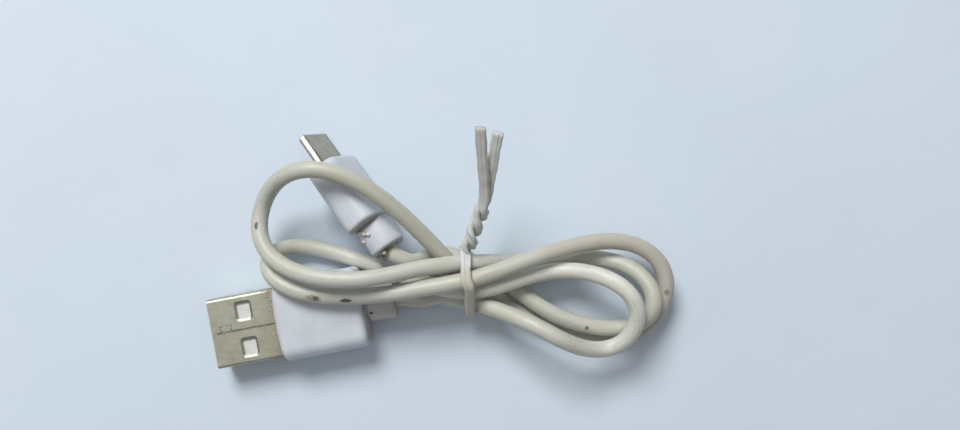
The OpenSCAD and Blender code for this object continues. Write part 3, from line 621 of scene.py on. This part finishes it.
def paper_finish():
    """The sheet that everything lies on."""
    f = Finish("paper_floor")
    cloud = f.cloud(f.solid, 0.02, 3.0, 0.5)
    colour = f.blend(f.rise(cloud, 0.3, 0.7), tint(206, 219, 230), tint(203, 215, 227))
    shade = f.cloud(f.solid, 0.035, 2.0, 0.5, 0.6)
    colour = f.blend(f.rise(shade, 0.45, 0.7) * 0.5, colour, tint(208, 217, 229))
    fine = f.cloud(f.solid, 0.9, 5.0, 0.6)
    colour = f.blend(f.rise(fine, 0.62, 0.8) * 0.12, colour, tint(195, 205, 218))
    bump = f.relief(f.cloud(f.solid, 0.06, 3.0), 0.25)
    bump = f.relief(f.cloud(f.solid, 2.5, 4.0, 0.6), 0.012, bump)
    return f.done(colour, 0.75 + fine * 0.15, bump)


# ---- meshes ----
CORD_SIDES = 28
LIP_HALF = 0.15  # half the height over which a grip's parting line swells
LIP_LEVELS = (0.32, 0.2, 0.1, 0.0, -0.1, -0.2, -0.32)
LIP_ROOM = 0.36  # the least height from the middle to a round corner that holds these levels
TINY = 1e-4  # the least that a flat side keeps between its round corners
HOLE_PLAY = 0.06  # round the cord, in a relief's hole
HOLE_DEPTH = 1.6
HOLE_FLARE = (0.25, 0.3)  # how far the hole's mouth opens, along it and outwards
RIM = 0.45  # radius of a relief's rear edge
EDGE_LEAST = 0.35  # radius that a grip's lengthwise edges keep at its ends
# the groove behind a grip, as how far before the grip and how deep
GROOVE = ((0.6, 0.03), (0.42, 0.14), (0.3, 0.3), (0.2, 0.38), (0.08, 0.4), (0.0, 0.38))
SHUT_LINE = 1.6  # how far the mould's upper half stands back at the rear, as a share of the lip

# two faces of a shell are one below the angle FLAT, and meet in an edge above SHARP
FLAT, SHARP = math.radians(1), math.radians(25)
WELD = 1e-6  # points that are this near each other, in metres, are one


def shown(name, mesh, finish):
    """Puts a mesh in the scene on the cable, with its finish."""
    piece = bpy.data.objects.new(name, mesh)
    bpy.context.scene.collection.objects.link(piece)
    if finish is not None:
        mesh.materials.clear()
        mesh.materials.append(finish)
    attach(piece, "cable")
    return piece


def coat(node, finish):
    """A solid whose shape is right keeps it, and gets its finish."""
    mesh = nodes[node].data
    if not mesh.materials:
        mesh.materials.append(finish)
    for i in range(len(mesh.materials)):
        mesh.materials[i] = finish


def skin(name, rings):
    """A closed mesh over rings of equally many points, in metres."""
    count, sides = rings.shape[:2]
    points = rings.reshape(-1, 3).tolist()
    faces = []
    for start in range(0, (count - 1) * sides, sides):
        for k in range(sides):
            ahead = (k + 1) % sides
            faces.append((start + k, start + ahead, start + sides + ahead, start + sides + k))
    for ring in (0, count - 1):
        centre = len(points)
        points.append(rings[ring].mean(axis=0).tolist())
        start = ring * sides
        for k in range(sides):
            pair = (start + (k + 1) % sides, start + k)
            faces.append((centre, *pair) if ring == 0 else (centre, *pair[::-1]))
    mesh = bpy.data.meshes.new(name)
    mesh.from_pydata(points, [], faces)
    work = bmesh.new()
    work.from_mesh(mesh)
    bmesh.ops.recalc_face_normals(work, faces=work.faces)
    work.to_mesh(mesh)
    work.free()
    mesh.shade_smooth()
    return mesh


def sweep_tree():
    """Geometry nodes: a round jacket along a curve, with its own coordinates stored on it."""
    tree = bpy.data.node_groups.new("jacket_along_route", "GeometryNodeTree")
    tree.interface.new_socket("Route", in_out="INPUT", socket_type="NodeSocketGeometry")
    thick = tree.interface.new_socket("Thickness", in_out="INPUT", socket_type="NodeSocketFloat")
    sides = tree.interface.new_socket("Sides", in_out="INPUT", socket_type="NodeSocketInt")
    jacket = tree.interface.new_socket("Jacket", in_out="INPUT", socket_type="NodeSocketMaterial")
    tree.interface.new_socket("Cord", in_out="OUTPUT", socket_type="NodeSocketGeometry")
    g = Graph(tree)
    given = tree.nodes.new("NodeGroupInput")

    def put(name):
        """One of the tree's own inputs."""
        return Value(g, given.outputs[name])

    def store(name, kind, geometry, value):
        """Geometry that holds a value at each point, for the finish to read."""
        return g.node("GeometryNodeStoreNamedAttribute", {"data_type": kind, "domain": "POINT"}, {
            "Geometry": geometry, "Name": name, "Value": value,
        })

    length = g.node("GeometryNodeSplineParameter", output="Length")
    line = store("along", "FLOAT", put("Route"), length / MM)
    circle = g.node("GeometryNodeCurvePrimitiveCircle", {"mode": "RADIUS"}, {
        "Resolution": put("Sides"), "Radius": put("Thickness") / 2.0,
    })
    circle = store("ring", "FLOAT_VECTOR", circle, g.node("GeometryNodeInputPosition"))
    tube = g.node("GeometryNodeCurveToMesh", None, {
        "Curve": line, "Profile Curve": circle, "Fill Caps": True,
    })
    tube = g.node("GeometryNodeSetShadeSmooth", None, {0: tube})
    tube = g.node("GeometryNodeRealizeInstances", None, {0: tube})
    tube = g.node("GeometryNodeSetMaterial", None, {"Geometry": tube, "Material": put("Jacket")})
    ready = tree.nodes.new("NodeGroupOutput")
    tree.links.new(tube.socket, ready.inputs["Cord"])
    return tree, thick.identifier, sides.identifier, jacket.identifier


def cord_mesh(points, finish):
    """The jacket as a mesh, made by the geometry nodes on a curve through the points."""
    curve = bpy.data.curves.new("route", "CURVE")
    curve.dimensions = "3D"
    spline = curve.splines.new("POLY")
    spline.points.add(len(points) - 1)
    spline.points.foreach_set("co", np.c_[points, np.ones(len(points))].ravel())
    carrier = bpy.data.objects.new("route", curve)
    bpy.context.scene.collection.objects.link(carrier)
    tree, thick, sides, jacket = sweep_tree()
    modifier = carrier.modifiers.new("jacket", "NODES")
    modifier.node_group = tree
    modifier[thick] = CORD * MM
    modifier[sides] = CORD_SIDES
    modifier[jacket] = finish
    seen = carrier.evaluated_get(bpy.context.evaluated_depsgraph_get())
    mesh = bpy.data.meshes.new_from_object(seen)
    mesh.name = "cord"
    carrier.modifiers.remove(modifier)
    bpy.data.objects.remove(carrier)
    return mesh


def rounded(w, h, r, corner=9, flat=5):
    """Points round a rectangle with round corners, closer together at half height for the lip."""
    r = min(r, w / 2 - TINY, h / 2 - TINY)
    y, z = w / 2 - r, h / 2 - r
    levels = LIP_LEVELS
    if z <= LIP_ROOM:
        levels = [z * (0.6 - 0.2 * i) for i in range(len(LIP_LEVELS))]
    points = []
    for turn, (sy, sz) in enumerate(((1, 1), (-1, 1), (-1, -1), (1, -1))):
        for a in quarter(corner):
            a += turn * math.pi / 2
            points.append((sy * y + r * math.cos(a), sz * z + r * math.sin(a)))
        if sy == sz:
            points += [(sy * y * (1 - 2 * (k + 1) / (flat + 1)), sz * h / 2) for k in range(flat)]
        else:
            points += [(sy * w / 2, sz * level) for level in levels]
    return np.array(points)


def grip_mesh(name, plug):
    """A grip with its strain relief as one moulding, from the cord's socket to its front face."""
    rl, rd = plug["relief"]
    gl, gw, gh = plug["grip"]
    rear, front, lip = plug["rear"], plug["front"], plug["lip"]
    full = rounded(gw, gh, plug["edge"])
    around = np.arctan2(full[:, 1] / gh, full[:, 0] / gw)
    circle = np.stack([np.cos(around), np.sin(around)], axis=1)
    rings = []

    def round_ring(x, r):
        """A round ring of the relief or of its hole."""
        rings.append(np.c_[np.full(len(circle), x), circle * r])

    hole = CORD / 2 + HOLE_PLAY
    round_ring(HOLE_DEPTH, hole)
    round_ring(2 * HOLE_FLARE[0], hole)
    for a in quarter(5):
        round_ring(HOLE_FLARE[0] * (1 - math.sin(a)), hole + HOLE_FLARE[1] * (1 - math.cos(a)))
    for a in quarter(7):
        round_ring(RIM * (1 - math.cos(a)), rd / 2 - RIM * (1 - math.sin(a)))
    round_ring(0.4 * rl, rd / 2)
    round_ring(rl - GROOVE[0][0] - 0.25, rd / 2)
    for back, dip in GROOVE:
        round_ring(rl - back, rd / 2 - dip * plug["neck"])

    swell = lip * np.exp(-((full[:, 1] / LIP_HALF) ** 2)) * (np.abs(full[:, 0]) > gw / 2 - 0.01)
    upper = full[:, 1] > LIP_HALF
    gw -= 2 * lip

    def body_ring(x, inset, push=0.0):
        """A ring of the grip, at x from its rear; push is how far its middle stands out. The
        parting line shows at the rear too, because the upper half of the mould stands back."""
        section = rounded(gw - 2 * inset, gh - 2 * inset, max(plug["edge"] - inset, EDGE_LEAST))
        section[:, 0] += np.sign(section[:, 0]) * swell
        shift = push * (1 - (section[:, 0] / (gw / 2)) ** 2)
        shift += upper * SHUT_LINE * lip * max(0.0, 1 - x / (2 * rear))
        rings.append(np.c_[rl + x + shift, section])

    body_ring(0.0, 0.98 * rear)
    for a in quarter(12)[1:]:
        body_ring(rear * (1 - math.cos(a)), rear * (1 - math.sin(a)))
    for k in range(1, 9):
        body_ring(rear + (gl - front - rear) * k / 9, 0)
    for a in quarter(9):
        body_ring(gl - front * (1 - math.sin(a)), front * (1 - math.cos(a)), plug["bulge"] * math.sin(a))
    for share in (0.25, 0.5):
        body_ring(gl, front + (gh / 2 - front) * share, plug["bulge"])
    return skin(name, on_plug(plug, np.array(rings).reshape(-1, 3)).reshape(len(rings), -1, 3))


def glue_drops(name, plug, joint, finish):
    """Drops that squeezed out of a joint: where it is along the plug, how far the drops reach
    along it, the first and last angle round it, its radius and their number. Fixed fractions
    of a turn scatter them."""
    at, reach, first, last, radius, count = joint
    work = bmesh.new()
    for n in range(count):
        x = at + reach * (0.618 * n % 1)
        angle = math.radians(first + (last - first) * ((0.382 * n + 0.2) % 1))
        size = 0.2 + 0.22 * (0.47 * n % 1)
        middle = np.array([x, radius * math.cos(angle), radius * math.sin(angle)])
        for vertex in bmesh.ops.create_icosphere(work, subdivisions=2, radius=1.0)["verts"]:
            lump = size * (1 + 0.45 * noise.noise(vertex.co * 1.2 + Vector((7.0 * n, at, 0.0))))
            vertex.co = on_plug(plug, middle + lump * np.array(vertex.co))
    mesh = bpy.data.meshes.new(name)
    work.to_mesh(mesh)
    work.free()
    mesh.shade_smooth()
    return shown(name, mesh, finish)


def softened(node, finish, width):
    """A plug's shell from its exact solid, with its edges broken."""
    name = node + "_dressed"
    mesh = nodes[node].data.copy()
    mesh.name = name
    work = bmesh.new()
    work.from_mesh(mesh)
    bmesh.ops.remove_doubles(work, verts=work.verts, dist=WELD)
    bmesh.ops.dissolve_limit(work, angle_limit=FLAT, verts=work.verts, edges=work.edges)
    sharp = [e for e in work.edges if len(e.link_faces) == 2 and e.calc_face_angle(0) > SHARP]
    bmesh.ops.bevel(work, geom=sharp, offset=width * MM, segments=2, profile=0.6, affect="EDGES",
                    clamp_overlap=True)
    for face in work.faces:
        face.smooth = True
    work.to_mesh(mesh)
    work.free()
    piece = shown(name, mesh, finish)
    weighted = piece.modifiers.new("even shading", "WEIGHTED_NORMAL")
    weighted.keep_sharp = True
    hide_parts(node)
    return piece


# ---- the twist tie ----
TIE_W, TIE_T = 1.9, 0.8  # width and thickness of the ribbon
TIE_TURNS = 3  # half turns of the twist
TIE_ROOT = np.array([-2.2, -5.9, 9.2])  # where the twist starts, above the bundle
TIE_FORK = np.array([0.6, 1.6, 14.7])  # where its two halves part again
TIE_ENDS = np.array([[2.73, 12.5, 21.3], [0.1, 13.6, 21.4]])
TIE_PLAY = 0.2  # between the ribbon and the cord
TIE_PAIR = 0.26  # half the gap between the two halves of the twist
TIE_SIDES, TIE_RIBS = 36, 7
TIE_STEPS = 5  # to each half turn, to each free end, and between two points of the path
BAND_ANGLES = range(65, 351, 5)  # round the bundle, in degrees
BAND_POINTS = 23
BAND_SHIFT, BAND_LEAN = -0.4, -0.6  # where it lies along the strands: its middle, its slant
ROOT_GAP = 0.25  # by which the halves of the twist are further apart at its root
ENDS_GAP = 0.3  # by which each free end moves away from the other
TIE_FILL = 0.47  # of the width and thickness that the section takes up, before it swells


def bridge(a, leave, b, arrive, f):
    """A point of the curve that leaves a and arrives at b with the given tangents."""
    return ((2 * f**3 - 3 * f**2 + 1) * a + (f**3 - 2 * f**2 + f) * leave
            + (3 * f**2 - 2 * f**3) * b + (f**3 - f**2) * arrive)


def strand(i, dx):
    """Where the cord's pass number i is, dx beside the waist: across and height."""
    near, far = (CHORD, 0) if i == 0 else (0, -CHORD)
    p = route(360 * i)
    h = route(360 * i + near) - route(360 * i + far)
    return (p + dx / h[0] * h)[1:]


def tie_route():
    """A table of the tie's points, with the way that its flat side faces there, the way that it
    runs and how much the twist crumples it."""
    reach = CORD / 2 + TIE_PLAY + TIE_T / 2
    run = unit(TIE_FORK - TIE_ROOT)
    side = unit(np.cross(run, (0, 0, 1)))
    up = np.cross(side, run)
    apart = TIE_T / 2 + TIE_PAIR

    def band(phi):
        """Round the bundle: as far out at that angle as the strands' outermost edge asks."""
        c, s = math.cos(math.radians(phi)), math.sin(math.radians(phi))
        x = BAND_SHIFT + BAND_LEAN * c
        edges = np.array([
            strand(i, x + beside) for i in range(len(LOOPS) + 1) for beside in (-TIE_W / 2, TIE_W / 2)
        ])
        far = edges[np.argmax(edges @ (c, s))] + reach * np.array([c, s])
        return [WAIST[0] + x, *far, 0, c, s, 0, -s, c, 0]

    def twisted(half, f):
        """Along one half of the twist, which is loose at its root and soon crumpled."""
        a = math.radians(90 + 180 * (half + TIE_TURNS * f))
        d = math.cos(a) * side + math.sin(a) * up
        out = apart + ROOT_GAP * max(0, 1 - 4 * f) ** 2
        point = TIE_ROOT + f * (TIE_FORK - TIE_ROOT) + out * d
        return [*point, *d, *(run * (2 * half - 1)), min(1, 5 * f)]

    def free_end(half, f):
        """Along a free end, which leaves the fork the way the twist runs and gets flat again."""
        s = math.cos(math.pi * (half + TIE_TURNS)) * up
        end = TIE_ENDS[half] + ENDS_GAP * s
        fork = TIE_FORK + apart * s
        point = bridge(fork, 7 * run, end, 1.1 * (end - fork), f)
        ahead = (end - fork) * (2 * half - 1) / 12
        return [*point, *s, *ahead, max(0, 1 - 1.6 * f)]

    loop = np.array([twisted(0, 0), *[band(phi) for phi in BAND_ANGLES], twisted(1, 0)])
    twist = [k / (TIE_STEPS * TIE_TURNS) for k in range(1, TIE_STEPS * TIE_TURNS + 1)]
    free = [k / TIE_STEPS for k in range(1, TIE_STEPS + 1)]
    path = [free_end(0, f) for f in reversed(free)]
    path += [twisted(0, f) for f in reversed(twist)]
    path += list(spaced(loop, BAND_POINTS))
    path += [twisted(1, f) for f in twist]
    path += [free_end(1, f) for f in free]
    return through(path, TIE_STEPS)


def ribbon_outline():
    """The tie's section: flat with rounded edges, and ribbed."""
    a = np.linspace(0, 2 * math.pi, TIE_SIDES, endpoint=False)
    wide = np.sign(np.cos(a)) * np.abs(np.cos(a)) ** 0.8
    thick = np.sign(np.sin(a)) * np.abs(np.sin(a)) ** 0.9
    rib = 1 + 0.045 * np.cos(TIE_RIBS * 2 * math.pi * wide)
    return np.stack([wide, thick * rib], axis=1)


def tie_mesh():
    """The ribbon, swelling a little along its run and thick where the twist crumples it."""
    line, facing, ahead, crumpled = np.split(tie_route(), (3, 6, 9), axis=1)
    deep = 1 + 0.55 * crumpled
    ahead = ahead / np.linalg.norm(ahead, axis=1)[:, None]
    wide = np.cross(ahead, facing)
    wide /= np.linalg.norm(wide, axis=1)[:, None]
    up = np.cross(wide, ahead)
    outline = ribbon_outline()
    along = travelled(line)
    pulse = 1 + 0.05 * np.sin(along * 1.3) + 0.04 * np.sin(along * 3.1 + 1)
    creased = 1 + 0.07 * np.sin(along * 2.3 + 0.5)
    beside = outline[None, :, 0] * pulse[:, None] * TIE_FILL * TIE_W
    above = outline[None, :, 1] * creased[:, None] * deep * TIE_FILL * TIE_T
    rings = line[:, None] + beside[..., None] * wide[:, None] + above[..., None] * up[:, None]
    mesh = skin("tie_ribbon_dressed", metres(rings.reshape(-1, 3)).reshape(rings.shape))

    # the finish reads the place on the flat ribbon; the last two points close its ends
    run = mesh.attributes.new("along", "FLOAT", "POINT")
    gone = np.r_[np.repeat(along, TIE_SIDES), along[0], along[-1]]
    run.data.foreach_set("value", gone.astype(np.float32))
    flat = np.zeros((len(gone), 3), np.float32)
    flat[:-2, :2] = np.tile(outline * (TIE_W / 2, TIE_T / 2), (len(line), 1))
    place = mesh.attributes.new("across", "FLOAT_VECTOR", "POINT")
    place.data.foreach_set("vector", flat.ravel())
    return mesh


# ---- camera and light ----
CAMERA_HEIGHT = 150.0  # straight above the drawing's origin
ROOM_LIGHT = 0.2
# each lamp: its place and size in metres, its power in watts and its colour
LAMPS = {
    "window": ((-0.18, 0.47, 0.57), 0.34, 5.3, (1.0, 1.0, 1.0)),
    "side_window": ((-0.47, -0.07, 0.32), 0.15, 0.12, (1.0, 1.0, 0.98)),
    "ceiling": ((0.0, 0.1, 0.95), 1.6, 1.7, (1.0, 1.0, 1.0)),
}
LIT = Vector((0.02, 0.0, 0.0))  # the spot that they all face, in metres
PAPER_HALF = 1.2  # half the width of the paper, in metres


def set_camera():
    """A camera that looks straight down."""
    lens = bpy.data.cameras.new("bench_camera")
    lens.sensor_width = 36.0
    lens.lens = 31.48
    lens.clip_start = 0.005
    camera = bpy.data.objects.new("bench_camera", lens)
    camera.location = metres((0.0, 0.0, CAMERA_HEIGHT))
    bpy.context.scene.collection.objects.link(camera)
    bpy.context.scene.camera = camera


def set_lights():
    """Soft daylight from the top left, a faint second window and a pale ceiling."""
    world = bpy.data.worlds.new("room")
    world.use_nodes = True
    room = world.node_tree.nodes["Background"]
    room.inputs["Color"].default_value = (1.0, 1.0, 1.0, 1.0)
    room.inputs["Strength"].default_value = ROOM_LIGHT
    bpy.context.scene.world = world
    for name, (place, size, power, colour) in LAMPS.items():
        lamp = bpy.data.lights.new(name, "AREA")
        lamp.shape = "DISK"
        lamp.size = size
        lamp.energy = power
        lamp.color = colour
        light = bpy.data.objects.new(name, lamp)
        light.location = place
        light.rotation_euler = (LIT - Vector(place)).to_track_quat("-Z", "Y").to_euler()
        bpy.context.scene.collection.objects.link(light)


def floor():
    """The sheet of paper that everything lies on."""
    mesh = bpy.data.meshes.new("paper")
    grid = bmesh.new()
    bmesh.ops.create_grid(grid, x_segments=2, y_segments=2, size=PAPER_HALF)
    grid.to_mesh(mesh)
    grid.free()
    paper = bpy.data.objects.new("paper", mesh)
    bpy.context.scene.collection.objects.link(paper)
    mesh.materials.append(paper_finish())


# ---- putting it together ----
bpy.context.scene.view_settings.view_transform = "Standard"
set_camera()

cord_points = metres(cord_route())
jacket = jacket_finish()
cord = shown("cord", cord_mesh(cord_points, jacket), None)
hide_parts("micro_b_lead", "cord_hank", "type_a_lead")

white_a = grip_finish("grip_a", PLUG_A, [BLACK_SPOT])
grip_a = shown("type_a_grip", grip_mesh("type_a_grip", PLUG_A), white_a)
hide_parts("type_a_overmould")
white_b = grip_finish("grip_b", PLUG_B)
grip_b = shown("micro_b_grip", grip_mesh("micro_b_grip", PLUG_B), white_b)
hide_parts("micro_b_overmould")

glue = glue_finish()
drops = [
    glue_drops("glue_at_neck", PLUG_B, (2.9, 2.1, 316, 360, 3.1, 18), glue),
    glue_drops("glue_at_exit", PLUG_B, (-0.7, 1.1, 280, 355, 1.8, 14), glue),
]

steel_a = steel_finish("steel_a", PLUG_A, worn=1.0, clean=(197, 198, 182), dull=(179, 178, 159), matt=0.34)
steel_b = steel_finish("steel_b", PLUG_B, worn=0.35, clean=(183, 175, 161), dull=(166, 157, 143), matt=0.05)
softened("type_a_shell", steel_a, width=0.09)
shell_b = softened("micro_b_shell", steel_b, width=0.11)

gold = gold_finish()
plastic = {name: moulding_finish(name, *look) for name, look in PLASTICS.items()}

tie = shown("tie_ribbon_dressed", tie_mesh(), tie_finish())
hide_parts("tie_ribbon")

for node in nodes:
    if "_contact_" in node:
        coat(node, gold)
    elif "_wire_" in node:
        coat(node, plastic["wire_" + node.rsplit("_", 1)[1]])
    elif node.endswith("inner_mould"):
        coat(node, plastic["inner_mould_white"])
    elif "_latch_" in node:
        coat(node, steel_b)
coat("type_a_tongue", plastic["tongue_white_shaded"])
coat("micro_b_insulator", plastic["insulator_black"])
coat("tie_core", steel_b)

# what goes where the cord goes: the micro-B plug with its glue, and the tie
on_cord = [grip_b, shell_b, tie, nodes["tie_core"], *drops]
on_cord += [nodes[n] for n in nodes if n.startswith("micro_b_")
            and n not in ("micro_b_lead", "micro_b_overmould", "micro_b_shell")]

set_lights()
floor()
